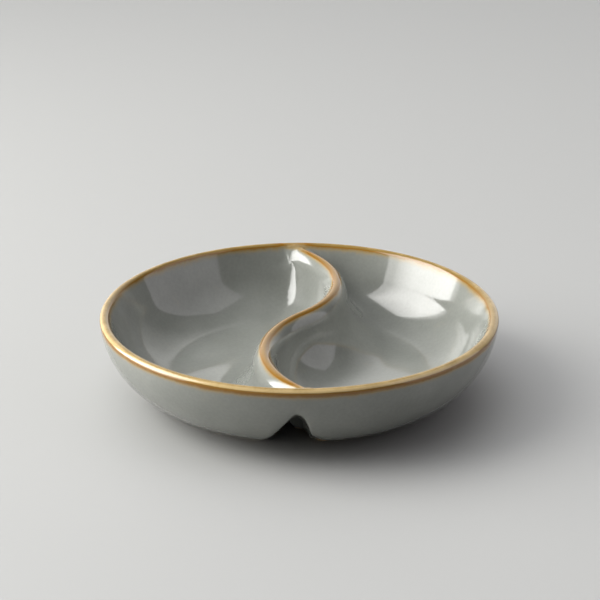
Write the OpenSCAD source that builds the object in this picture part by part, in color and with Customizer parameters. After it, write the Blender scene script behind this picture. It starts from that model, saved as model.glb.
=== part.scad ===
// Round two-well serving dish in glazed stoneware, parted by a hollow S-shaped divider.
// Millimetres, +Z up. Origin on the table under the middle of the dish, front at -Y.

/* [Dish] */
// Width across the rim, over the glaze
dish_d = 170; // [140:1:220]
// Height from the table to the top of the rim, over the glaze
dish_h = 36; // [30:0.5:50]
// Thickness of the wall just under the rim, over the glaze
wall_t = 3.6; // [3:0.1:5]
// Lean of the inner wall off the upright, under the lip
wall_draft = 23; // [16:0.5:26]
// Height of the well floor over the table, over the glaze
floor_t = 6; // [5:0.1:8]

/* [Divider] */
// Radius of each of the two arcs of the swirl
swirl_r = 57.5; // [52:0.5:64]
// How far inside the rim's edge the swirl comes back to the middle line
swirl_inset = 6.5; // [4:0.5:9]
// How far the whole swirl stands to the right of the middle of the dish
swirl_shift = 1.2; // [0:0.1:2]
// Width of the rounded crest, over the glaze
crest_w = 4.2; // [3.6:0.1:5]
// How far the crest lies below the top of the rim
crest_drop = 1.4; // [0.8:0.1:2]
// Lean of the divider's shoulders off the upright, under the crest
shoulder_lean = 30; // [26:0.5:34]
// Width of the divider under its shoulders, over the glaze
waist_w = 9.3; // [8.6:0.1:10.5]

/* [Groove] */
// Height of the ridge of the groove under the divider, in the bare clay
groove_h = 12.5; // [9:0.1:14]
// Width of the groove at the table, in the bare clay
groove_w = 13; // [10:0.5:16]
// Width of the rounded ridge of the groove, in the bare clay
ridge_w = 5; // [4:0.1:6]
// How far each arc of the groove swings off the straight line between its ends
groove_bow = 10; // [8:0.5:14]

/* [Mouth] */
// How far the ridge of each groove mouth lies below the top of the rim at the outer wall
mouth_drop = 13.2; // [12.6:0.1:18]
// Width of the rounded ridge of each mouth, in the bare clay
mouth_ridge_w = 6; // [5:0.1:8]
// Slope of each mouth's flanks off the upright
mouth_slope = 42; // [34:0.5:48]
// Run over which each mouth's ridge falls to the height of the groove's ridge
mouth_run = 17.2; // [15:0.1:20]
// Length of each mouth from the outer wall inwards
mouth_l = 44; // [40:0.5:50]
// How far each mouth stands aside of the swirl's middle at the outer wall
mouth_shift = 1.6; // [0:0.1:2.2]
// Skew of each mouth in plan
mouth_skew = 6; // [0:0.5:10]

/* [Foot] */
// How far the foot edge stands out past the lowest point of the wall's curve
foot_reach = 6.5; // [5:0.1:9]
// Width of the bare foot along the outer edge
foot_w = 5; // [3:0.1:8]
// Width of the bare foot along the groove
foot_inner_w = 8; // [7:0.1:11]
// Depth of the hollow inside each foot, in the bare clay
hollow_h = 1.5; // [1:0.1:2.5]

/* [Glaze] */
// Thickness of every glaze coat
glaze_t = 0.5; // [0.3:0.05:0.8]
// Depth of the brown band below the top of the rim
band_h = 3.4; // [3.2:0.1:5]
// Bare clay left between a foot edge and the glaze beside it
bare_margin = 0.7; // [0.4:0.1:2]

/* [Hidden] */
$fn = 128;
// Lift of the wall's curve over the table, and how far the inner curve's centre lies below the rim
wall_lift = 1;
inner_drop = 1;
// How far the centre of each flank's curve lies below the centre of the crest
flank_drop = 1.3;
// How deep each inner curve runs under the floor face
blend_dip = 0.6;
// How much wider a rounded form is than the straight face that runs into it, each side
edge_roll = 0.13;
// Run of every cutting body past the face it cuts
run_out = 2;
// Turn of each arc of the swirl and of the groove after it comes back to the middle line
end_turn = 16;
// How far inside the rim's edge the groove comes back to the middle line and the mouth is set out
groove_inset = 3;

outer_r = dish_h - wall_lift;
outer_x = dish_d / 2 - outer_r;
lip_r = wall_t / 2 + edge_roll;
lip_x = dish_d / 2 - lip_r;
lip_z = dish_h - lip_r;
inner_z = dish_h - inner_drop;
inner_r = inner_z - floor_t + blend_dip;
brim_x = lip_x - wall_t / 2;
bend_z = inner_z - (inner_r - edge_roll) * sin(wall_draft);
bend_x = brim_x - (lip_z - bend_z) * tan(wall_draft);
inner_x = bend_x - (inner_r - edge_roll) * cos(wall_draft);
band_z = dish_h - band_h;
swirl_span = dish_d / 2 - swirl_inset;
swirl_tilt = asin(swirl_span / 2 / swirl_r);
crest_r = crest_w / 2;
crest_z = dish_h - crest_drop - crest_r;
shoulder_z = crest_z + crest_r * sin(shoulder_lean);
shoulder_x = crest_r * cos(shoulder_lean) - edge_roll;
flank_z = crest_z - flank_drop;
flank_r = flank_z - floor_t + blend_dip;
flank_x = flank_r + waist_w / 2;
groove_half = (dish_d / 2 - groove_inset) / 2;
groove_r = (groove_half * groove_half + groove_bow * groove_bow) / 2 / groove_bow;
groove_tilt = asin(groove_half / groove_r);
ridge_r = ridge_w / 2;
ridge_z = groove_h - ridge_r;
groove_slope = atan2(groove_w / 2 - ridge_r + edge_roll, ridge_z);
mouth_r = mouth_ridge_w / 2;
mouth_h = dish_h - mouth_drop;
mouth_rise = atan2(mouth_h - groove_h, mouth_run);
mouth_y = dish_d / 2 - groove_inset;
foot_r = outer_x + foot_reach;
glaze_z = wall_lift + bare_margin;
reach = dish_d;

// Half section under the outer face; gap is how far the face lies inside the glazed size
module outer_section(gap) {
    intersection() {
        union() {
            square([foot_r, lip_z]);
            translate([outer_x, dish_h]) circle(outer_r - gap);
        }
        square([dish_d, lip_z]);
    }
}

// Half section of the open space of the bowl, without the divider
module cavity_section(gap) {
    low_x = bend_x + gap * cos(wall_draft);
    low_z = bend_z - gap * sin(wall_draft);
    intersection() {
        union() {
            square([inner_x, reach]);
            translate([inner_x, inner_z]) circle(inner_r + gap);
            polygon([[0, low_z], [low_x, low_z], [low_x + (reach - low_z) * tan(wall_draft), reach], [0, reach]]);
        }
        translate([0, floor_t - gap]) square([dish_d, lip_z]);
    }
}

// Half section of the bowl's wall and floor with its rounded lip
module bowl_section(gap) {
    difference() {
        outer_section(gap);
        cavity_section(gap);
    }
    translate([lip_x, lip_z]) circle(lip_r - gap);
}

// Cross section of the divider: rounded crest, leaning shoulders, hollow flanks that run out into the floor
module divider_section(gap) {
    top_half = shoulder_x - gap / cos(shoulder_lean);
    foot_half = top_half + shoulder_z * tan(shoulder_lean);
    translate([0, crest_z]) circle(crest_r - gap);
    intersection() {
        polygon([[-foot_half, 0], [foot_half, 0], [top_half, shoulder_z], [-top_half, shoulder_z]]);
        difference() {
            translate([-flank_x, floor_t / 2]) square([2 * flank_x, shoulder_z]);
            for (side = [-1, 1]) {
                translate([side * flank_x, flank_z]) circle(flank_r + gap);
            }
        }
    }
}

// Rounded ridge on two sloping flanks, ridge centre at the origin, kept inside by a coat
module ridge_section(radius, slope, drop, coat) {
    top_half = radius - edge_roll - coat / cos(slope);
    foot_half = top_half + drop * tan(slope);
    circle(radius - coat);
    polygon([[-foot_half, -drop], [foot_half, -drop], [top_half, 0], [-top_half, 0]]);
}

// Sweep of a cross section along the two arcs of an S
module swirl(radius, tilt) {
    for (turn = [0, 180]) {
        translate([swirl_shift, 0, 0]) rotate([0, 0, turn - tilt]) translate([-radius, 0, 0]) {
            rotate_extrude(angle = 2 * tilt + end_turn) translate([radius, 0]) children();
        }
    }
}

module divider(gap) {
    swirl(swirl_r, swirl_tilt) divider_section(gap);
}

// The part of the divider that stands in the bowl, its ends buried in the wall
module divider_core() {
    intersection() {
        divider(glaze_t);
        rotate_extrude() intersection() {
            union() {
                square([outer_x, dish_h]);
                translate([outer_x, dish_h]) circle(outer_r - wall_t / 2);
            }
            square([lip_x, dish_h]);
        }
    }
}

// Channel under the divider with a flared mouth through the wall at each end
module groove(coat) {
    swirl(groove_r, groove_tilt) translate([0, ridge_z]) {
        ridge_section(ridge_r, groove_slope, ridge_z + run_out, coat);
    }
    for (turn = [0, 180]) {
        translate([swirl_shift, 0, mouth_h - mouth_r]) rotate([0, 0, turn]) {
            translate([-mouth_shift, -mouth_y, 0]) rotate([90 - mouth_rise, 0, mouth_skew]) {
                translate([0, 0, coat - mouth_l]) linear_extrude(2 * mouth_l) {
                    ridge_section(mouth_r, mouth_slope, mouth_h + run_out, coat);
                }
            }
        }
    }
}

// Plan of one side of an S, kept clear of it by a margin; turn 0 is the left side, 180 the right
module side_plan(turn, radius, tilt, margin) {
    translate([swirl_shift, 0]) rotate([0, 0, turn - tilt]) {
        intersection() {
            translate([-radius, 0]) circle(radius - margin);
            translate([-reach, 0]) square([2 * reach, reach]);
        }
        difference() {
            translate([-reach, -reach]) square([2 * reach, reach]);
            translate([radius, 0]) circle(radius + margin);
        }
    }
}

// Plan of the hollow inside one foot
module hollow_plan(turn, margin) {
    intersection() {
        circle(foot_r - foot_w - margin);
        side_plan(turn, groove_r, groove_tilt, groove_w / 2 + foot_inner_w + margin);
    }
}

module hollow(turn) {
    translate([0, 0, -run_out]) linear_extrude(run_out + hollow_h) hollow_plan(turn, 0);
}

// Coat on the floor, the wall and the divider flank of one well
module well_coat(turn) {
    difference() {
        intersection() {
            linear_extrude(band_z) side_plan(turn, swirl_r, swirl_tilt, 0);
            rotate_extrude() cavity_section(glaze_t);
        }
        divider(glaze_t);
        difference() {
            rotate_extrude() cavity_section(0);
            divider(0);
        }
    }
}

// Coat on the ceiling of the hollow inside one foot
module base_coat(turn) {
    translate([0, 0, hollow_h - glaze_t]) linear_extrude(glaze_t) hollow_plan(turn, bare_margin);
}

module stoneware_body() {
    color("#c9bda6") difference() {
        union() {
            rotate_extrude() bowl_section(glaze_t);
            divider_core();
        }
        groove(0);
        hollow(0);
        hollow(180);
    }
}

module left_well_glaze() {
    color("#8b8f89") well_coat(0);
}

module right_well_glaze() {
    color("#8b8f89") well_coat(180);
}

module divider_glaze_band() {
    color("#b0884a") difference() {
        intersection() {
            divider(0);
            translate([0, 0, band_z]) cylinder(h = band_h, r = lip_x - crest_drop / 2);
        }
        divider(glaze_t);
        rotate_extrude() bowl_section(0);
    }
}

module rim_glaze_band() {
    color("#b0884a") difference() {
        rotate_extrude() difference() {
            intersection() {
                bowl_section(0);
                translate([0, band_z]) square([dish_d, band_h]);
            }
            bowl_section(glaze_t);
        }
        divider_core();
    }
}

module outer_glaze() {
    color("#84887f") difference() {
        rotate_extrude() difference() {
            intersection() {
                translate([outer_x, dish_h]) circle(outer_r);
                translate([foot_r + bare_margin, 0]) square([dish_d, band_z]);
            }
            translate([outer_x, dish_h]) circle(outer_r - glaze_t);
        }
        groove(glaze_t);
    }
}

module groove_glaze() {
    color("#7c8078") difference() {
        intersection() {
            groove(0);
            rotate_extrude() outer_section(glaze_t);
            translate([0, 0, glaze_z]) cylinder(h = dish_h, d = dish_d);
        }
        groove(glaze_t);
    }
}

module left_base_glaze() {
    color("#84887f") base_coat(0);
}

module right_base_glaze() {
    color("#84887f") base_coat(180);
}

stoneware_body();
left_well_glaze();
right_well_glaze();
divider_glaze_band();
rim_glaze_band();
outer_glaze();
groove_glaze();
left_base_glaze();
right_base_glaze();
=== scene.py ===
import math
import bpy
import bmesh
import numpy as np
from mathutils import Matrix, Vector


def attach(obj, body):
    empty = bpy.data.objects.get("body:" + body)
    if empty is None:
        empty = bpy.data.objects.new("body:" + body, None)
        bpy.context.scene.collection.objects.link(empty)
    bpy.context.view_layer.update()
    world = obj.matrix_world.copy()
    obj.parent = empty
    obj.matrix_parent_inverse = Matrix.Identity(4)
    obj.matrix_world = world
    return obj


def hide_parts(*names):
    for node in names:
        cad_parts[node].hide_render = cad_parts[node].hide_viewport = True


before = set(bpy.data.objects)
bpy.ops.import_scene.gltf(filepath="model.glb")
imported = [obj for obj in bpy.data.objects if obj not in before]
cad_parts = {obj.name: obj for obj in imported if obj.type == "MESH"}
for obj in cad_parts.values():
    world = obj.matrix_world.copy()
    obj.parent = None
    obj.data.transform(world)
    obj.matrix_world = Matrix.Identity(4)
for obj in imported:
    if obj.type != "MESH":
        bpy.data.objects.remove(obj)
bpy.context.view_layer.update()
scene = bpy.context.scene
scene.view_settings.view_transform = "Standard"
print("frame loaded:", len(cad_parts), "nodes")

mm = 0.001


# adds one node, sets its properties, feeds its inputs by position or name, gives back one output
def addNode(tree, kind, *feeds, named=None, out=0, **settings):
    node = tree.nodes.new(kind)
    for key, value in settings.items():
        setattr(node, key, value)
    for key, feed in list(enumerate(feeds)) + list((named or {}).items()):
        if isinstance(feed, bpy.types.NodeSocket):
            tree.links.new(feed, node.inputs[key])
        else:
            node.inputs[key].default_value = feed
    return node.outputs[out] if node.outputs else node


# sRGB hex to linear colour
def hexColour(text):
    parts = [int(text[i:i + 2], 16) / 255 for i in (1, 3, 5)]
    return tuple(c / 12.92 if c <= 0.04045 else ((c + 0.055) / 1.055) ** 2.4 for c in parts) + (1.0,)


# 0 up to low, 1 from high on, level at both ends
def smoothStep(low, high, value):
    t = np.clip((value - low) / (high - low), 0, 1)
    return t * t * (3 - 2 * t)


# larger of two heights with a rounded changeover, as the node of that name does it
def smoothMax(a, b, blend):
    h = np.maximum(blend - np.abs(a - b), 0) / blend
    return np.maximum(a, b) + h ** 3 * blend / 6


# the form of the dish, in millimetres
dish = {
    "rimRadius": 85.0,       # over the glaze
    "height": 36.0,
    "lipRadius": 2.1,        # half the lip's thickness
    "floorHeight": 6.0,
    "wallBend": 29.0,        # radius of the inner wall's curve
    "wallDraft": 25.0,       # degrees the wall leans out under the lip
    "floorBlend": 3.0,       # rounding where floor and wall meet
    "outerBend": 35.0,       # radius of the outer wall's curve
    "outerCentre": 50.0,
    "outerStart": 2.6,       # drop from the top where the lip runs into the outer wall
    "bandDrop": 3.4,         # drop from the top where the rim's band ends outside
    "glaze": 0.5,            # thickness of every coat
}
swirl = {
    "bend": 57.5,            # radius of each arc of the S
    "tilt": 43.05,           # degrees the S is turned back at its middle
    "shift": 1.2,            # to the right of the dish's middle
    "crestRadius": 2.1,
    "crestHeight": 34.6,
    "crestTurn": 54.0,       # degrees of tilt where the crest runs into its shoulder
    "shoulder": 9.0,         # radius of the shoulder
    "flankDraft": 7.0,       # degrees of tilt at the steepest place of the flank
    "flankFoot": 5.4,        # height that the hollow flank runs down to
    "filletLow": 3.0,        # strength of the corner blend on the floor
    "fillet": 21.0,          # up the corners by the wall
    "filletTop": 6.0,        # and at the brim
    "filletRise": (5.0, 26.0),       # heights over which it grows
    "filletFall": (22.0, 35.0),      # and lessens again
}

lipX = dish["rimRadius"] - dish["lipRadius"]
lipZ = dish["height"] - dish["lipRadius"]

# inner wall: an arc up from the floor, then straight at the draft to the lip
draft = math.radians(dish["wallDraft"])
brimX = lipX - dish["lipRadius"] * math.cos(draft)
brimZ = lipZ + dish["lipRadius"] * math.sin(draft)
wallZ = dish["floorHeight"] + dish["wallBend"]
bendZ = wallZ - dish["wallBend"] * math.sin(draft)
bendX = brimX - (brimZ - bendZ) * math.tan(draft)
wallX = bendX - dish["wallBend"] * math.cos(draft)

# divider: small crest, rounded shoulder, hollow flank, each running into the next
crestZ = swirl["crestHeight"] - swirl["crestRadius"]
crestTurn = math.radians(swirl["crestTurn"])
flankDraft = math.radians(swirl["flankDraft"])
crestEdge = swirl["crestRadius"] * math.cos(crestTurn)
shoulderX = crestEdge - swirl["shoulder"] * math.cos(crestTurn)
shoulderZ = crestZ + (swirl["crestRadius"] - swirl["shoulder"]) * math.sin(crestTurn)
shoulderEdge = shoulderX + swirl["shoulder"] * math.cos(flankDraft)
flankTop = shoulderZ + swirl["shoulder"] * math.sin(flankDraft)
flankBend = (flankTop - swirl["flankFoot"]) / (1 - math.sin(flankDraft))
flankX = shoulderEdge + flankBend * math.cos(flankDraft)
flankZ = swirl["flankFoot"] + flankBend


# signed distance from an S of two arcs, left of it negative
def swirlSide(x, y, bend, tilt, shift):
    turn = math.radians(tilt)
    u = (x - shift) * math.cos(turn) - y * math.sin(turn)
    v = (x - shift) * math.sin(turn) + y * math.cos(turn)
    return np.where(v > 0, np.hypot(u + bend, v) - bend, bend - np.hypot(u - bend, v))


# points along a line that keeps a set distance from the S, between two crossings of a circle
def swirlLine(aside, ring, count):
    bend, turn, shift = swirl["bend"], math.radians(swirl["tilt"]), swirl["shift"]
    points = []
    for side in (-1, 1):     # front arm, then back arm
        cx = shift - side * bend * math.cos(turn)
        cy = side * bend * math.sin(turn)
        radius = bend + side * aside
        spare = ring ** 2 - cx * cx - cy * cy - radius ** 2
        reach = math.acos(spare / (2 * radius * math.hypot(cx, cy)))
        start = -turn + (0 if side > 0 else math.pi)
        end = math.atan2(cy, cx) - reach
        while end < start:
            end += 2 * math.pi
        angles = np.linspace(start, end, count // 2 + 1)
        arm = np.stack([cx + radius * np.cos(angles), cy + radius * np.sin(angles)], 1)
        points.append(arm[::-1] if side < 0 else arm[1:])
    return np.concatenate(points)


# how finely the surface is laid out, in counts and millimetres
layout = {
    "alongSwirl": 200,
    "acrossWell": 54,
    "wellEase": 1.35,        # above 1, the rows of a well lie closer towards the rim
    "asides": [0.45, 0.85, 1.23, 1.6, 2.0, 2.4, 2.8, 3.2, 3.55, 3.85, 4.1, 4.35, 4.6, 4.9, 5.3, 5.8, 6.5,
               7.3, 8.2, 9.2, 10.4, 11.8, 13.5, 15.5],        # columns on each side of the S
    "bandHalf": 2.0,         # the one of them where the crest's band ends
    "ringStart": 79.9,       # radius where the wells end
    "ringRows": [80.15, 80.4, 80.65],
    "bandRow": 2,            # row of the ring where the rim's band begins
    "lipTurns": range(30, 181, 15),      # degrees round the lip
    "outerRows": 52,
    "outerBandRows": 2,      # rows of the outside that belong to the rim's band
    "nudge": 0.02,           # step to a point close by, to tell the slope
    "slopeEnd": 80.6,        # radius up to which normals come from the slopes
}
half = layout["asides"]
asides = np.array([-v for v in half[::-1]] + [0.0] + half)
bandColumn = len(half) - 1 - half.index(layout["bandHalf"])      # first column of the crest's band
along, across, columns = layout["alongSwirl"], layout["acrossWell"], len(asides)
strip = np.stack([swirlLine(a, layout["ringStart"], along) for a in asides], 1)

# the coats, in the order of the numbers that faces carry
coatNames = ["stoneware_body", "left_well_glaze", "right_well_glaze", "divider_glaze_band", "rim_glaze_band",
             "outer_glaze", "groove_glaze"]
bare, leftWell, rightWell, crestBand, rimBand, outerWall, groove = range(len(coatNames))
verts, upper, faces, coats = [], [], [], []


def addVerts(points, isUpper):
    first = len(verts)
    verts.extend(map(tuple, points))
    upper.extend([isUpper] * len(points))
    return np.arange(first, first + len(points))


# faces between rows of points; where points fall together a face has fewer corners or is left out
def addGrid(ids, coat, closed=False):
    if closed:
        ids = np.concatenate([ids, ids[:, :1]], 1)
    for i in range(ids.shape[0] - 1):
        for j in range(ids.shape[1] - 1):
            loop = [ids[i, j], ids[i, j + 1], ids[i + 1, j + 1], ids[i + 1, j]]
            loop = [v for n, v in enumerate(loop) if v not in loop[:n]]
            if len(loop) > 2:
                faces.append([int(v) for v in loop])
                coats.append(coat(i, j) if callable(coat) else coat)


def flat(plan):
    return np.concatenate([plan, np.zeros((len(plan), 1))], 1)


# ring directions: front end of the S, right arc, back end, left arc
frontTurn = np.unwrap(np.arctan2(strip[0, :, 1], strip[0, :, 0]))
backTurn = np.unwrap(np.arctan2(strip[-1, ::-1, 1], strip[-1, ::-1, 0]))
rightArc = np.linspace(frontTurn[-1], backTurn[0], along + 1)[1:-1]
leftArc = np.linspace(backTurn[-1], frontTurn[0] + 2 * math.pi, along + 1)[1:-1]
turns = np.concatenate([frontTurn, rightArc, backTurn, leftArc])
frontCols = np.arange(columns)
rightCols = columns + np.arange(along - 1)
backCols = columns + along - 1 + np.arange(columns)
leftCols = 2 * columns + along - 1 + np.arange(along - 1)

wallRows = [layout["ringStart"]] + layout["ringRows"] + [brimX]
lipRows = [lipX - dish["lipRadius"] * math.cos(math.radians(a)) for a in layout["lipTurns"]]
around = np.stack([np.cos(turns), np.sin(turns)], 1)
ring = [addVerts(flat(r * around), True) for r in wallRows + lipRows]

# strip along the S, its ends on the ring
stripIds = np.zeros((along + 1, columns), int)
stripIds[0] = ring[0][frontCols]
stripIds[-1] = ring[0][backCols][::-1]
for i in range(1, along):
    stripIds[i] = addVerts(flat(strip[i]), True)


def stripCoat(j):
    if j < bandColumn:
        return leftWell
    return crestBand if j < columns - 1 - bandColumn else rightWell


addGrid(stripIds, lambda i, j: stripCoat(j))

# the two wells, each between the strip's edge and the ring
wells = ((stripIds[:, 0], ring[0][leftCols][::-1], leftWell),
         (stripIds[:, -1], ring[0][rightCols], rightWell))
for near, arc, coat in wells:
    far = np.concatenate([near[:1], arc, near[-1:]])
    a = np.array([verts[v][:2] for v in near])
    b = np.array([verts[v][:2] for v in far])
    rows = [near]
    for k in range(1, across):
        share = 1 - (1 - k / across) ** layout["wellEase"]
        between = addVerts(flat(a + (b - a) * share)[1:-1], True)
        rows.append(np.concatenate([near[:1], between, near[-1:]]))
    addGrid(np.array(rows + [far]), coat)


def ringCoat(i, j):
    if i >= layout["bandRow"]:
        return rimBand
    if j < columns - 1:
        return stripCoat(j)
    if j < backCols[0]:
        return rightWell
    if j < backCols[-1]:
        return stripCoat(columns - 2 - (j - backCols[0]))
    return leftWell


addGrid(np.array(ring), ringCoat, closed=True)
print("upper side laid out:", len(verts), "points")

# groove under the divider, with a mouth at each end
channel = {
    "bend": 89.05,           # a gentler S than the divider's
    "tilt": 27.4,
    "height": 12.0,
    "slope": 2.42,
    "round": 2.0,
    "footRound": 2.5,        # rounding along the feet
    "mouthHeight": 24.5,     # ridge of the mouth at the outer wall
    "mouthInset": 3.0,       # that height is reached this far in from the rim
    "mouthAside": -1.1,      # where the ridge leaves the wall
    "mouthSkew": 1.0,        # degrees
    "mouthFall": 0.62,       # fall of the ridge towards the middle, at the wall and further in
    "innerFall": 0.38,
    "fallReach": 6.0,        # distance over which the one turns into the other
    "dip": 0.02,             # fall that grows further in
    "dipStart": 16.0,
    "mouthEnd": 60.0,        # the mouth reaches no further in
    "leftSlope": 1.14,       # straight left flank
    "leftRound": 1.2,
    "rightReach": 3.0,       # steep right flank
    "rightDrop": 1.7,
    "rightPower": 2.5,
    "rightEnd": 12.0,
    "flareHeight": 18.6,     # its foot, which opens out
    "flareSlope": 0.69,
    "flareFall": 0.41,
    "flareRound": 4.0,
    "edgeRound": 6.0,        # rounding of the mouth's edge
    "glazeLift": 1.5,        # the groove's coat begins where the wall is cut up by this much
    "twistEnd": 82.0,        # radius up to which the rows are turned along with the groove
}
foot = {
    "radius": 56.5,
    "glazeEdge": 57.2,       # radius where the outer coat ends
    "width": 5.0,            # flat tread along the outside
    "innerWidth": 8.0,       # and along the groove
    "grooveHalf": 6.5,       # half the groove's width between the feet
    "hollow": 1.5,           # depth of the hollow inside each foot
    "hollowEdge": 0.6,       # half the width of its sloping edge
    "side": [(56.8, 1.95), (56.5, 1.7), (56.5, 1.0), (56.45, 0.35), (56.2, 0.0)],    # rows: radius, height
    "tread": [55.2, 54.0, 52.8, 52.2, 51.9, 51.6, 51.3, 51.0, 50.6, 50.0],
    "middle": (49.0, 1.0, 52),       # first and last radius further in, and rows
    "bareHeight": 1.75,      # height where the groove's coat ends
    "edgeReach": 54.5,       # radius up to which points of that edge slide there
    "edgeSlide": 1.2,        # and by how much at most
    "edgeSteps": 8,
}
farBelow = -50.0             # a height that never shows


# height of the outside seen from below: wall or foot, groove and its two mouths
def underHeight(x, y, base):
    aside = swirlSide(x, y, channel["bend"], channel["tilt"], swirl["shift"])
    ridge = channel["height"] - channel["slope"] * (np.hypot(aside, channel["round"]) - channel["round"])
    out = smoothMax(base, ridge, channel["footRound"])
    skew = math.radians(channel["mouthSkew"])
    reach = channel["fallReach"]
    for side in (1, -1):     # front mouth, then the same one turned half round
        dx = side * (x - swirl["shift"]) + swirl["shift"] - channel["mouthAside"]
        dy = side * y + dish["rimRadius"] - channel["mouthInset"]
        lateral = dx * math.cos(skew) + dy * math.sin(skew)
        inward = -dx * math.sin(skew) + dy * math.cos(skew)
        dip = channel["dip"] * np.maximum(inward - channel["dipStart"], 0) ** 2
        steeper = reach * (channel["mouthFall"] - channel["innerFall"])
        fall = channel["innerFall"] * inward + dip
        fall = fall + steeper * (1 - np.exp(-np.maximum(inward, -reach) / reach))
        left = channel["leftSlope"] * (np.hypot(lateral, channel["leftRound"]) - channel["leftRound"])
        off = np.clip(lateral, 0, channel["rightEnd"]) / channel["rightReach"]
        right = channel["rightDrop"] * off ** channel["rightPower"]
        roof = channel["mouthHeight"] - fall - np.where(lateral < 0, left, right)
        flare = channel["flareHeight"] - channel["flareSlope"] * lateral - channel["flareFall"] * inward
        flare = flare - dip
        roof = np.where(lateral > 0, smoothMax(roof, flare, channel["flareRound"]), roof)
        roof = np.where(dy > channel["mouthEnd"], farBelow, roof)
        out = smoothMax(out, roof, channel["edgeRound"])
    return out


# the outer wall with the mouths in it, and the groove over a flat foot
def wallHeight(x, y):
    off = np.hypot(x, y) - dish["outerCentre"]
    return underHeight(x, y, dish["height"] - np.sqrt(dish["outerBend"] ** 2 - off * off))


def grooveHeight(x, y):
    return underHeight(x, y, np.zeros(len(x)))


def hollowHeight(x, y):
    aside = np.abs(swirlSide(x, y, channel["bend"], channel["tilt"], swirl["shift"]))
    offGroove = aside - foot["grooveHalf"] - foot["innerWidth"]
    inside = np.minimum(foot["radius"] - foot["width"] - np.hypot(x, y), offGroove)
    return foot["hollow"] * smoothStep(-foot["hollowEdge"], foot["hollowEdge"], inside)


# turn of a row below at radius r, so that the columns run along the groove
def twist(r):
    held = np.minimum(r, channel["twistEnd"])
    return np.arcsin(held / (2 * channel["bend"])) - math.radians(channel["tilt"])


nudge = layout["nudge"]


def slopesOf(height, x, y):
    slopeX = (height(x + nudge, y) - height(x - nudge, y)) / (2 * nudge)
    slopeY = (height(x, y + nudge) - height(x, y - nudge)) / (2 * nudge)
    return slopeX, slopeY


# rows of the outside as radius and height, from under the lip to the middle of the underside
outerStart = math.degrees(math.acos(dish["outerStart"] / dish["outerBend"]))
outerBand = math.degrees(math.acos(dish["bandDrop"] / dish["outerBend"]))
outerEnd = math.degrees(math.asin((foot["glazeEdge"] - dish["outerCentre"]) / dish["outerBend"]))
angles = np.radians(np.concatenate([[outerStart], np.linspace(outerBand, outerEnd, layout["outerRows"])]))
profile = [(dish["outerCentre"] + dish["outerBend"] * math.sin(a),
            dish["height"] - dish["outerBend"] * math.cos(a)) for a in angles]
profile += foot["side"]
profile += [(r, 0.0) for r in foot["tread"]]
profile += [(r, 0.0) for r in np.linspace(*foot["middle"])]
treadEdge = foot["side"][-1][0]

under, wallWays = [], {}
for n, (r, z) in enumerate(profile):
    turned = turns + twist(r)
    x, y = r * np.cos(turned), r * np.sin(turned)
    base = np.full(len(turns), z) if r > treadEdge else np.maximum(hollowHeight(x, y), z)
    under.append(addVerts(np.stack([x, y, underHeight(x, y, base)], 1), False))
    if 0 < n < len(angles):
        slopeX, slopeY = slopesOf(wallHeight, x, y)
        wallWays.update(zip(under[-1], np.stack([slopeX, slopeY, -np.ones(len(x))], 1)))
centre = np.zeros(1)
pole = addVerts(np.stack([centre, centre, grooveHeight(centre, centre)], 1), False)
outside = [ring[-1]] + under + [np.repeat(pole, len(turns))]
heights = np.array([p[2] for p in verts])
glazeRows = 1 + len(angles)      # rows of the outside that carry glaze


# the rim's band on top, then outer coat or groove, then bare clay or groove
def outsideCoat(i, j):
    if i < layout["outerBandRows"]:
        return rimBand
    corners = [(n, m) for n in (i, i + 1) for m in (j, (j + 1) % len(turns))]
    if i + 1 < glazeRows:
        lift = np.mean([heights[outside[n][m]] - profile[n - 1][1] for n, m in corners])
        return groove if lift > channel["glazeLift"] else outerWall
    height = np.mean([heights[outside[n][m]] for n, m in corners])
    return groove if height > foot["bareHeight"] else bare


addGrid(np.array(outside), outsideCoat, closed=True)

# inside the feet the groove's coat ends at one height, so the points of its edge slide there
coatsAt = {}
for loop, coat in zip(faces, coats):
    for v in loop:
        coatsAt.setdefault(v, set()).add(coat)
edge = [v for v, found in coatsAt.items()
        if {bare, groove} <= found and math.hypot(*verts[v][:2]) < foot["edgeReach"]]
x, y = np.array([verts[v][:2] for v in edge]).T
for _ in range(foot["edgeSteps"]):
    slopeX, slopeY = slopesOf(grooveHeight, x, y)
    step = (foot["bareHeight"] - grooveHeight(x, y)) / np.maximum(slopeX ** 2 + slopeY ** 2, 1)
    x, y = x + step * slopeX, y + step * slopeY
for v, *spot in zip(edge, x, y, grooveHeight(x, y)):
    if math.dist(spot[:2], verts[v][:2]) < foot["edgeSlide"]:
        verts[v] = tuple(map(float, spot))
print("outside laid out:", len(verts), "points,", len(faces), "faces")

# loose points a step beside each upper one are raised with it and tell the slope there
plan, count = np.array(verts), len(verts)
raisedIds = np.flatnonzero(upper)
probes = np.concatenate([plan[raisedIds] + (nudge, 0, 0), plan[raisedIds] + (0, nudge, 0)])
formMesh = bpy.data.meshes.new("dishForm")
formMesh.from_pydata((np.concatenate([plan, probes]) * mm).tolist(), [], faces)
raisedFlags = upper + [True] * len(probes)
formMesh.attributes.new("upper", "BOOLEAN", "POINT").data.foreach_set("value", raisedFlags)
formMesh.attributes.new("coat", "INT", "FACE").data.foreach_set("value", coats)
form = bpy.data.objects.new("dishForm", formMesh)
scene.collection.objects.link(form)

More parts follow.
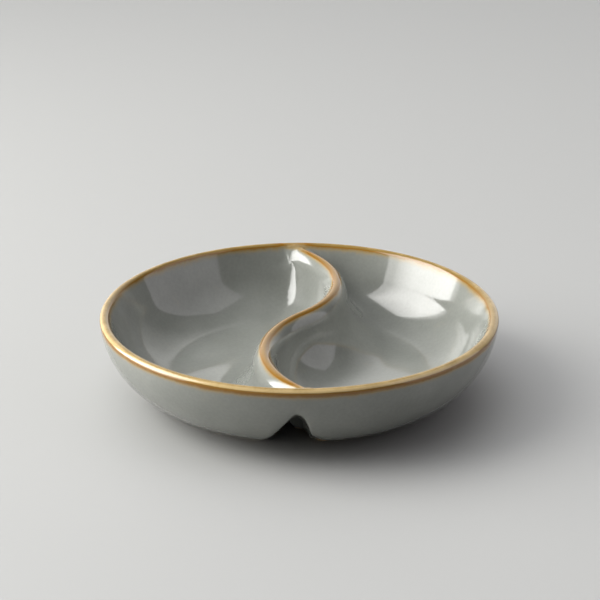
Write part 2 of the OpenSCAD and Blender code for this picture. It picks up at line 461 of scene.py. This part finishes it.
# bowl, lip and swirling divider are raised from the flat layout by Geometry Nodes
mathNode, vectorNode, switchNode = "ShaderNodeMath", "ShaderNodeVectorMath", "GeometryNodeSwitch"
rangeNode, combineNode = "ShaderNodeMapRange", "ShaderNodeCombineXYZ"
tree = bpy.data.node_groups.new("raiseSwirlDish", "GeometryNodeTree")
tree.is_modifier = True
tree.interface.new_socket("Geometry", in_out="INPUT", socket_type="NodeSocketGeometry")
tree.interface.new_socket("Geometry", in_out="OUTPUT", socket_type="NodeSocketGeometry")
sizes = {
    "Lip Radius": dish["lipRadius"], "Lip Middle": lipX, "Lip Height": lipZ,
    "Brim": brimX, "Brim Height": brimZ, "Brim Level": swirl["crestHeight"],
    "Wall Bend": dish["wallBend"], "Wall Middle": wallX, "Wall Height": wallZ, "Wall Edge": bendX,
    "Floor Height": dish["floorHeight"], "Floor Blend": dish["floorBlend"],
    "Swirl Bend": swirl["bend"], "Swirl Shift": swirl["shift"],
    "Crest Radius": swirl["crestRadius"], "Crest Middle": 0.0, "Crest Height": crestZ,
    "Crest Edge": crestEdge,
    "Shoulder Radius": swirl["shoulder"], "Shoulder Middle": shoulderX, "Shoulder Height": shoulderZ,
    "Shoulder Edge": shoulderEdge,
    "Flank Bend": flankBend, "Flank Middle": flankX, "Flank Height": flankZ,
    "Fillet": swirl["fillet"], "Fillet Low": swirl["filletLow"], "Fillet Top": swirl["filletTop"],
    "Rise Start": swirl["filletRise"][0], "Rise End": swirl["filletRise"][1],
    "Fall Start": swirl["filletFall"][0], "Fall End": swirl["filletFall"][1],
}
inputs = {name: size * mm for name, size in sizes.items()}
inputs.update({"Swirl Tilt": math.radians(swirl["tilt"]), "Wall Draft": draft})
for name in inputs:
    tree.interface.new_socket(name, in_out="INPUT", socket_type="NodeSocketFloat")
tree.interface.new_socket("Material", in_out="INPUT", socket_type="NodeSocketMaterial")
given = tree.nodes.new("NodeGroupInput").outputs
position = addNode(tree, "GeometryNodeInputPosition")
radius = addNode(tree, vectorNode, position, operation="LENGTH", out="Value")


# how far an arc of the named size stands above or hangs below its middle at a given place
def arcSpan(name, bend, place):
    size = given[name + " " + bend]
    off = addNode(tree, mathNode, place, given[name + " Middle"], operation="SUBTRACT")
    sizeSquare = addNode(tree, mathNode, size, size, operation="MULTIPLY")
    offSquare = addNode(tree, mathNode, off, off, operation="MULTIPLY")
    rest = addNode(tree, mathNode, sizeSquare, offSquare, operation="SUBTRACT")
    return addNode(tree, mathNode, rest, operation="SQRT")


# bowl: rounded floor, curved wall, straight run at the draft, half-round lip
outward = addNode(tree, mathNode, radius, given["Wall Middle"], operation="MAXIMUM")
wallArc = arcSpan("Wall", "Bend", outward)
curved = addNode(tree, mathNode, given["Wall Height"], wallArc, operation="SUBTRACT")
offBrim = addNode(tree, mathNode, given["Brim"], radius, operation="SUBTRACT")
lean = addNode(tree, mathNode, given["Wall Draft"], operation="TANGENT")
below = addNode(tree, mathNode, offBrim, lean, operation="DIVIDE")
straight = addNode(tree, mathNode, given["Brim Height"], below, operation="SUBTRACT")
pastBend = addNode(tree, mathNode, radius, given["Wall Edge"], operation="GREATER_THAN")
wall = addNode(tree, switchNode, pastBend, curved, straight, input_type="FLOAT")
well = addNode(tree, mathNode, wall, given["Floor Height"], given["Floor Blend"], operation="SMOOTH_MAX")
lipArc = arcSpan("Lip", "Radius", radius)
lip = addNode(tree, mathNode, given["Lip Height"], lipArc, operation="ADD")
pastBrim = addNode(tree, mathNode, radius, given["Brim"], operation="GREATER_THAN")
bowl = addNode(tree, switchNode, pastBrim, well, lip, input_type="FLOAT")

# distance from the S: two arcs that meet in the middle
middle = addNode(tree, combineNode, given["Swirl Shift"])
shifted = addNode(tree, vectorNode, position, middle, operation="SUBTRACT")
local = addNode(tree, "ShaderNodeVectorRotate", shifted, named={"Angle": given["Swirl Tilt"]},
                rotation_type="Z_AXIS")
arcCentre = addNode(tree, combineNode, given["Swirl Bend"])
fromBack = addNode(tree, vectorNode, local, arcCentre, operation="ADD")
fromFront = addNode(tree, vectorNode, local, arcCentre, operation="SUBTRACT")
toBack = addNode(tree, vectorNode, fromBack, operation="LENGTH", out="Value")
toFront = addNode(tree, vectorNode, fromFront, operation="LENGTH", out="Value")
backSide = addNode(tree, mathNode, toBack, given["Swirl Bend"], operation="SUBTRACT")
frontSide = addNode(tree, mathNode, given["Swirl Bend"], toFront, operation="SUBTRACT")
localY = addNode(tree, "ShaderNodeSeparateXYZ", local, out="Y")
isBack = addNode(tree, mathNode, localY, 0.0, operation="GREATER_THAN")
signed = addNode(tree, switchNode, isBack, frontSide, backSide, input_type="FLOAT")
offSwirl = addNode(tree, mathNode, signed, operation="ABSOLUTE")

# divider: round crest, shoulder and hollow flank
crestArc = arcSpan("Crest", "Radius", offSwirl)
crest = addNode(tree, mathNode, given["Crest Height"], crestArc, operation="ADD")
shoulderArc = arcSpan("Shoulder", "Radius", offSwirl)
shoulder = addNode(tree, mathNode, given["Shoulder Height"], shoulderArc, operation="ADD")
inward = addNode(tree, mathNode, offSwirl, given["Flank Middle"], operation="MINIMUM")
flankArc = arcSpan("Flank", "Bend", inward)
flank = addNode(tree, mathNode, given["Flank Height"], flankArc, operation="SUBTRACT")
pastShoulder = addNode(tree, mathNode, offSwirl, given["Shoulder Edge"], operation="GREATER_THAN")
slope = addNode(tree, switchNode, pastShoulder, shoulder, flank, input_type="FLOAT")
pastCrest = addNode(tree, mathNode, offSwirl, given["Crest Edge"], operation="GREATER_THAN")
ridge = addNode(tree, switchNode, pastCrest, crest, slope, input_type="FLOAT")

# corner blend: slight on the floor, wide up the corners, small again at the brim, which stays level
brim = addNode(tree, mathNode, bowl, given["Brim Level"], operation="MINIMUM")
highest = addNode(tree, mathNode, brim, ridge, operation="MAXIMUM")
rising = addNode(tree, rangeNode, highest, given["Rise Start"], given["Rise End"], given["Fillet Low"],
                 given["Fillet"], interpolation_type="SMOOTHSTEP")
blend = addNode(tree, rangeNode, highest, given["Fall Start"], given["Fall End"], rising,
                given["Fillet Top"], interpolation_type="SMOOTHSTEP")
joined = addNode(tree, mathNode, brim, ridge, blend, operation="SMOOTH_MAX")
higher = addNode(tree, mathNode, joined, bowl, operation="MAXIMUM")
pastLip = addNode(tree, mathNode, radius, given["Lip Middle"], operation="GREATER_THAN")
raised = addNode(tree, switchNode, pastLip, higher, lip, input_type="FLOAT")
lift = addNode(tree, combineNode, 0.0, 0.0, raised)
isUpper = addNode(tree, "GeometryNodeInputNamedAttribute", "upper", data_type="BOOLEAN")
moved = addNode(tree, "GeometryNodeSetPosition", given["Geometry"], isUpper, named={"Offset": lift})
smoothed = addNode(tree, "GeometryNodeSetShadeSmooth", moved)
realized = addNode(tree, "GeometryNodeRealizeInstances", smoothed)
finished = addNode(tree, "GeometryNodeSetMaterial", realized, named={"Material": given["Material"]})
addNode(tree, "NodeGroupOutput", finished)

# the sockets of a mix node that mixes colours
mixShare, mixFrom, mixTo, mixResult = 0, 6, 7, 2


# an empty material, its nodes and the place on the piece
def startMaterial(name):
    material = bpy.data.materials.new(name)
    material.use_nodes = True
    tree = material.node_tree
    tree.nodes.clear()
    return material, tree, addNode(tree, "ShaderNodeTexCoord", out="Object")


# noise with a pattern of a given size in mm
def addNoise(tree, place, size, detail):
    return addNode(tree, "ShaderNodeTexNoise", named={"Vector": place, "Scale": 1 / mm / size,
                                                      "Detail": detail})


# relief in the shading, with a depth in mm
def addBump(tree, height, strength, depth):
    return addNode(tree, "ShaderNodeBump", named={"Height": height, "Strength": strength,
                                                  "Distance": depth * mm})


# one colour turning into another
def mixColours(tree, share, start, end):
    feeds = {mixShare: share, mixFrom: start, mixTo: end}
    return addNode(tree, "ShaderNodeMix", named=feeds, data_type="RGBA", out=mixResult)


# the surface that ends a material
def addSurface(tree, looks):
    surface = addNode(tree, "ShaderNodeBsdfPrincipled", named=looks)
    addNode(tree, "ShaderNodeOutputMaterial", surface)


glazeLook = {
    "greyDark": "#71736d",
    "greyPale": "#888a84",
    "breaking": {            # how far the melt has run off an edge, and its colour there; on the rim's outside the pale and amber stops also paint light and shade
        "fade": (0.2, "#8f7c52"),
        # amber where the melt pools under an edge, kept dark so that it also paints the shade at and under
        # the lip's widest point
        "amberAndShade": (0.42, "#7b5312"),
        "honey": (0.66, "#7b5d2a"),
        "gold": (0.8, "#80693a"),
        # pale honey where the melt runs thin over an edge, which also stands for the painted highlight on
        # the lip's upper outer side
        "pale": (1.0, "#b59d70"),
    },
    "cover": (0.02, 0.32),   # over which these colours take the place of the grey
    "cloud": 26.0,           # pattern sizes in mm
    "curd": 9.0,
    "fleck": 1.4,            # as coarse as it has to be to show
    "ripple": 16.0,
    "noiseRange": (0.3, 0.7),        # where nearly all of a noise lies
    "cloudShare": (0.2, 0.8),        # of pale in dark grey
    "fleckShare": 0.09,      # more or less of it in a fleck
    "waver": 0.045,          # of the front along an edge
    "speck": 0.02,
    "rippleStrength": 0.25,
    "rippleDepth": 0.4,      # mm
    "roughness": 0.075,
    "roughnessSpread": 0.012,
    "ior": 1.58,
}


# glossy reactive stoneware glaze: grey where it lies thick, breaking to honey brown over the edges, with a
# painted highlight and a painted shade band in the brown on the rim's outside
def makeGlaze(name):
    look, (low, high) = glazeLook, glazeLook["noiseRange"]
    material, tree, place = startMaterial(name)
    cloud = addNoise(tree, place, look["cloud"], 2.0)
    curd = addNoise(tree, place, look["curd"], 2.0)
    fleck = addNoise(tree, place, look["fleck"], 1.0)
    # cloudy grey of the thick melt, with a faint fleck
    depth = addNode(tree, rangeNode, cloud, low, high, *look["cloudShare"])
    grain = addNode(tree, rangeNode, fleck, low, high, -look["fleckShare"], look["fleckShare"])
    tint = addNode(tree, mathNode, depth, grain, operation="ADD", use_clamp=True)
    grey = mixColours(tree, tint, hexColour(look["greyDark"]), hexColour(look["greyPale"]))
    # the melt thins towards an edge, with a wavering front; the same value carries the painted light and
    # shade on the rim's outside
    edge = addNode(tree, "ShaderNodeAttribute", attribute_name="edgeBreakAndPaintedLight", out="Fac")
    waver = addNode(tree, rangeNode, curd, low, high, -look["waver"], look["waver"])
    speck = addNode(tree, rangeNode, fleck, low, high, -look["speck"], look["speck"])
    uneven = addNode(tree, mathNode, waver, speck, operation="ADD")
    thin = addNode(tree, mathNode, edge, uneven, operation="ADD")
    ramp = tree.nodes.new("ShaderNodeValToRGB")
    tree.links.new(thin, ramp.inputs["Fac"])
    colours = list(look["breaking"].values())
    stops = ramp.color_ramp.elements
    stops[0].position, stops[1].position = colours[0][0], colours[-1][0]
    for spot, _ in colours[1:-1]:
        stops.new(spot)
    for stop, (_, colour) in zip(stops, colours):
        stop.color = hexColour(colour)
    cover = addNode(tree, rangeNode, thin, *look["cover"], 0.0, 1.0, interpolation_type="SMOOTHSTEP")
    colour = mixColours(tree, cover, grey, ramp.outputs["Color"])
    ripple = addNoise(tree, place, look["ripple"], 1.0)
    bump = addBump(tree, ripple, look["rippleStrength"], look["rippleDepth"])
    rough = addNode(tree, rangeNode, cloud, low, high, look["roughness"] - look["roughnessSpread"],
                    look["roughness"] + look["roughnessSpread"])
    addSurface(tree, {"Base Color": colour, "Roughness": rough, "Normal": bump, "IOR": look["ior"]})
    return material


clayLook = {
    "dark": "#a58a66",
    "pale": "#c8b190",
    "grog": 1.2,             # mm, coarser than real so that it shows
    "bumpStrength": 0.4,
    "bumpDepth": 0.15,       # mm
    "roughness": 0.82,
}


# bare fired stoneware: matte buff clay with fine grog, seen on the foot
def makeClay(name):
    material, tree, place = startMaterial(name)
    grog = addNoise(tree, place, clayLook["grog"], 4.0)
    colour = mixColours(tree, grog, hexColour(clayLook["dark"]), hexColour(clayLook["pale"]))
    bump = addBump(tree, grog, clayLook["bumpStrength"], clayLook["bumpDepth"])
    addSurface(tree, {"Base Color": colour, "Roughness": clayLook["roughness"], "Normal": bump})
    return material


sageGlaze = makeGlaze("sage stoneware glaze")
honeyGlaze = makeGlaze("honey breaking glaze")
bareClay = makeClay("bare fired stoneware")

modifier = form.modifiers.new("raise", "NODES")
modifier.node_group = tree
inputs["Material"] = sageGlaze
for item in tree.interface.items_tree:
    if item.in_out == "INPUT" and item.name in inputs:
        modifier[item.identifier] = inputs[item.name]
settled = bpy.data.meshes.new_from_object(form.evaluated_get(bpy.context.evaluated_depsgraph_get()))
form.modifiers.remove(modifier)
bpy.data.objects.remove(form)

work = bmesh.new()
work.from_mesh(settled)
bmesh.ops.recalc_face_normals(work, faces=work.faces[:])
work.to_mesh(settled)
work.free()
points = np.empty(len(settled.vertices) * 3)
settled.vertices.foreach_get("co", points)
points = points.reshape(-1, 3) / mm
normals = np.empty(len(settled.vertices) * 3)
settled.vertex_normals.foreach_get("vector", normals)
normals = normals.reshape(-1, 3)[:count]

# away from the lip the normals come from the slopes, so that reflections run evenly
slopes = (points[count:, 2].reshape(2, -1) - points[raisedIds, 2]) / nudge
points = points[:count]
ways = np.stack([-slopes[0], -slopes[1], np.ones(len(raisedIds))], 1)
smooth = np.hypot(*points[raisedIds, :2].T) < layout["slopeEnd"]
normals[raisedIds[smooth]] = ways[smooth] / np.linalg.norm(ways[smooth], axis=1)[:, None]
ways = np.array(list(wallWays.values()))
normals[list(wallWays)] = ways / np.linalg.norm(ways, axis=1)[:, None]
loops = [tuple(p.vertices) for p in settled.polygons]
coatOf = np.empty(len(loops), int)
settled.attributes["coat"].data.foreach_get("value", coatOf)
print("dish raised:", count, "points, highest", round(points[:, 2].max(), 2), "mm")

# how far the melt has run off the edges, by the drop in mm from the top of the rim or crest; outside the rim
# the values also paint a highlight and a shade band
breaks = {
    # outside: the pale run from 0.4 to 1.1 mm down is a painted highlight on the lip's upper outer side,
    # paler than the top itself, and the amber from 1.4 to 2.4 mm down is painted shade at and under the
    # lip's widest point, both laid over the real honey break
    "outside": ([0.0, 0.4, 1.1, 1.4, 2.4, 3.2, 4.8], [0.82, 1.0, 1.0, 0.45, 0.4, 0.2, 0.0]),
    "inside": ([0.0, 0.5, 0.9, 1.1, 1.8, 2.8, 4.3], [0.82, 0.76, 0.6, 0.34, 0.23, 0.12, 0.0]),
    "crest": ([0.0, 0.3, 0.65, 1.0, 2.2], [0.66, 0.62, 0.48, 0.24, 0.0]),
    "rimStart": 78.0,        # radius from which the rim breaks
    "crestEnd": 81.2,        # radius up to which the crest does
    "crestHalf": 7.0,        # and this far to each side of the S
    "lowest": 25.0,          # height on the outside under which nothing does
    "endFade": 0.6,          # how much less it breaks where the divider runs into the rim
    "crestFade": (68.0, 80.0),       # radii over which the crest fades
    "rimFade": (2.0, 8.0),   # distances from the S over which the back of the rim does
}
x, y, z = points.T
reach = np.hypot(x, y)
aside = np.abs(swirlSide(x, y, swirl["bend"], swirl["tilt"], swirl["shift"]))
rimDrop = dish["height"] - z
outsideBreakAndPaintedLight = np.interp(rimDrop, *breaks["outside"])
insideBreak = np.interp(rimDrop, *breaks["inside"])
rimBreakAndPaintedLight = np.where(reach > lipX, outsideBreakAndPaintedLight, insideBreak)
rimBreakAndPaintedLight = np.where(reach > breaks["rimStart"], rimBreakAndPaintedLight, 0)
rimBreakAndPaintedLight = rimBreakAndPaintedLight * (1 - breaks["endFade"] * (1 - smoothStep(*breaks["rimFade"], aside)) * (y > 0))
onCrest = (aside < breaks["crestHalf"]) & (reach < breaks["crestEnd"])
crestBreak = np.where(onCrest, np.interp(swirl["crestHeight"] - z, *breaks["crest"]), 0)
crestBreak = crestBreak * (1 - breaks["endFade"] * smoothStep(*breaks["crestFade"], reach))
edgeBreakAndPaintedLight = np.clip(np.maximum(rimBreakAndPaintedLight, crestBreak), 0, 1)
edgeBreakAndPaintedLight[~np.array(upper) & (z < breaks["lowest"])] = 0


# a closed coat of even thickness over some faces of the form
def makeCoat(name, picked, material):
    used = sorted({v for n in picked for v in loops[n]})
    index = {v: i for i, v in enumerate(used)}
    top = [[index[v] for v in loops[n]] for n in picked]
    size = len(used)
    outer, ways = points[used], normals[used]
    inner = outer - ways * dish["glaze"]
    bottom = [[v + size for v in loop[::-1]] for loop in top]
    edges = dict.fromkeys((a, b) for loop in top for a, b in zip(loop, loop[1:] + loop[:1]))
    border = [(b, a, a + size, b + size) for a, b in edges if (b, a) not in edges]
    shape = bpy.data.meshes.new(name)
    shape.from_pydata((np.concatenate([outer, inner]) * mm).tolist(), [], top + bottom + border)
    # the edge value goes with each coat, including the painted light and shade on the rim's outside
    thinning = shape.attributes.new("edgeBreakAndPaintedLight", "FLOAT", "POINT")
    thinning.data.foreach_set("value", np.tile(edgeBreakAndPaintedLight[used], 2))
    shape.polygons.foreach_set("use_smooth", [True] * len(shape.polygons))
    shape.normals_split_custom_set_from_vertices(np.concatenate([ways, -ways]).tolist())
    shape.materials.append(material)
    piece = bpy.data.objects.new(name, shape)
    scene.collection.objects.link(piece)
    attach(piece, "root")
    return piece


for code in range(leftWell, len(coatNames)):
    isBand = code in (crestBand, rimBand)
    material, slotName = (honeyGlaze, "honey_glaze") if isBand else (sageGlaze, "sage_glaze")
    node = coatNames[code]
    piece = makeCoat(node.replace("_", "."), np.flatnonzero(coatOf == code), material)
    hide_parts(node)
    print("coat", node, len(piece.data.polygons), "faces")

# clay body: the same form, drawn in by the glaze wherever it is glazed
glazed = np.zeros(count, bool)
for n in np.flatnonzero(coatOf != bare):
    glazed[list(loops[n])] = True
drawnIn = points - normals * (glazed * dish["glaze"])[:, None]
clayMesh = bpy.data.meshes.new("clay.body")
clayMesh.from_pydata((drawnIn * mm).tolist(), [], loops)
clayMesh.polygons.foreach_set("use_smooth", [True] * len(loops))
clayMesh.materials.append(bareClay)
clayBody = bpy.data.objects.new("clay.body", clayMesh)
scene.collection.objects.link(clayBody)
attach(clayBody, "root")
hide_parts("stoneware_body")
for node in ("left_base_glaze", "right_base_glaze"):
    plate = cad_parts[node]
    plate.data.materials.clear()
    plate.data.materials.append(sageGlaze)
print("clay body and base coats done")

# floor and surroundings; sizes and places of the studio are in metres
studio = {
    "floor": "#9c9c9a",
    "floorRoughness": 0.6,
    "floorReach": 4.0,
    "background": "#e4e3e0",
    "frontGlow": 0.1,        # of the surroundings as the gloss shows them, in front and behind
    "backGlow": 1.6,
    "glowRange": (0.55, 0.95),       # of the direction's y, over which the one turns into the other
    "fill": "#f6f7fa",       # soft light, strongest from one direction
    "fillFrom": (-0.38, 0.3, 0.875),
    "fillTop": 2.95,
    "fillLow": 0.09,
    "fillEdge": 0.54,        # cosine of the angle where it has fallen to its lowest
}
side = studio["floorReach"]
floorMesh = bpy.data.meshes.new("floor")
corners = [(-side, -side, 0), (side, -side, 0), (side, side, 0), (-side, side, 0)]
floorMesh.from_pydata(corners, [], [(0, 1, 2, 3)])
floor = bpy.data.objects.new("floor", floorMesh)
scene.collection.objects.link(floor)
floorLook = bpy.data.materials.new("pale floor")
floorLook.use_nodes = True
floorShader = floorLook.node_tree.nodes["Principled BSDF"]
floorShader.inputs["Base Color"].default_value = hexColour(studio["floor"])
floorShader.inputs["Roughness"].default_value = studio["floorRoughness"]
floorMesh.materials.append(floorLook)

# pale background behind the dish, falling off to a dim room in front, as its gloss shows them
world = bpy.data.worlds.new("studio")
scene.world = world
world.use_nodes = True
room = world.node_tree
room.nodes.clear()
way = addNode(room, "ShaderNodeTexCoord", out="Generated")
towards = addNode(room, "ShaderNodeSeparateXYZ", way, out="Y")
glow = addNode(room, rangeNode, towards, *studio["glowRange"], studio["frontGlow"], studio["backGlow"])
rays = room.nodes.new("ShaderNodeLightPath").outputs
strength = addNode(room, mathNode, rays["Is Camera Ray"], glow, operation="MAXIMUM")
shiny = addNode(room, mathNode, rays["Is Glossy Ray"], rays["Is Transmission Ray"], operation="MAXIMUM")
seen = addNode(room, mathNode, rays["Is Camera Ray"], shiny, operation="MAXIMUM")
overhead = addNode(room, vectorNode, way, studio["fillFrom"], operation="DOT_PRODUCT", out="Value")
fill = addNode(room, rangeNode, overhead, studio["fillEdge"], 1.0, studio["fillLow"], studio["fillTop"])
light = addNode(room, "ShaderNodeBackground", hexColour(studio["fill"]), fill)
shown = addNode(room, "ShaderNodeBackground", hexColour(studio["background"]), strength)
mixed = addNode(room, "ShaderNodeMixShader", seen, light, shown)
addNode(room, "ShaderNodeOutputWorld", mixed)

# flat panels of light that face the dish along x, with a set brightness whatever their size, which is
# given upright and then along y
panels = {
    "window": {"strength": 4.4, "colour": "#fffefb", "place": (-1.0, -0.015, 0.52), "sizes": [(1.99, 1.02)]},
    "pane": {"strength": 0.82, "colour": "#fffefb", "place": (-0.98, 0.1, 0.5),      # brighter to the middle
             "sizes": [(1.86, 0.97), (1.72, 0.92), (1.54, 0.86), (1.28, 0.79), (1.0, 0.71), (0.75, 0.62),
                       (0.5, 0.5)]},
    "wall": {"strength": 1.0, "colour": "#f4f0f6", "place": (1.05, -0.12, 0.58), "sizes": [(2.8, 1.15)]},
}
panelStep = 0.005            # panels of one kind stand this far apart, so that their light adds up
for name, panel in panels.items():
    x, y, z = panel["place"]
    for n, (high, wide) in enumerate(panel["sizes"]):
        lamp = bpy.data.lights.new(name, "AREA")
        lamp.shape = "RECTANGLE"
        lamp.size, lamp.size_y = high, wide
        lamp.energy = panel["strength"] * math.pi * high * wide
        lamp.color = hexColour(panel["colour"])[:3]
        holder = bpy.data.objects.new(name, lamp)
        holder.location = (x + n * panelStep, y, z)
        holder.rotation_euler = Vector((-x, 0, 0)).to_track_quat("-Z", "Z").to_euler()
        holder.visible_camera = False
        scene.collection.objects.link(holder)

viewpoint = {
    "lens": 105.05,
    "sensor": 36,
    "place": (0.0003, -0.6946, 0.3145),
    "target": (0.0003, 0, 0.0398),
}
camera = bpy.data.cameras.new("camera")
camera.lens = viewpoint["lens"]
camera.sensor_width = viewpoint["sensor"]
cameraHolder = bpy.data.objects.new("camera", camera)
cameraHolder.location = viewpoint["place"]
sight = Vector(viewpoint["target"]) - cameraHolder.location
cameraHolder.rotation_euler = sight.to_track_quat("-Z", "Y").to_euler()
scene.collection.objects.link(cameraHolder)
scene.camera = cameraHolder
print("studio set")
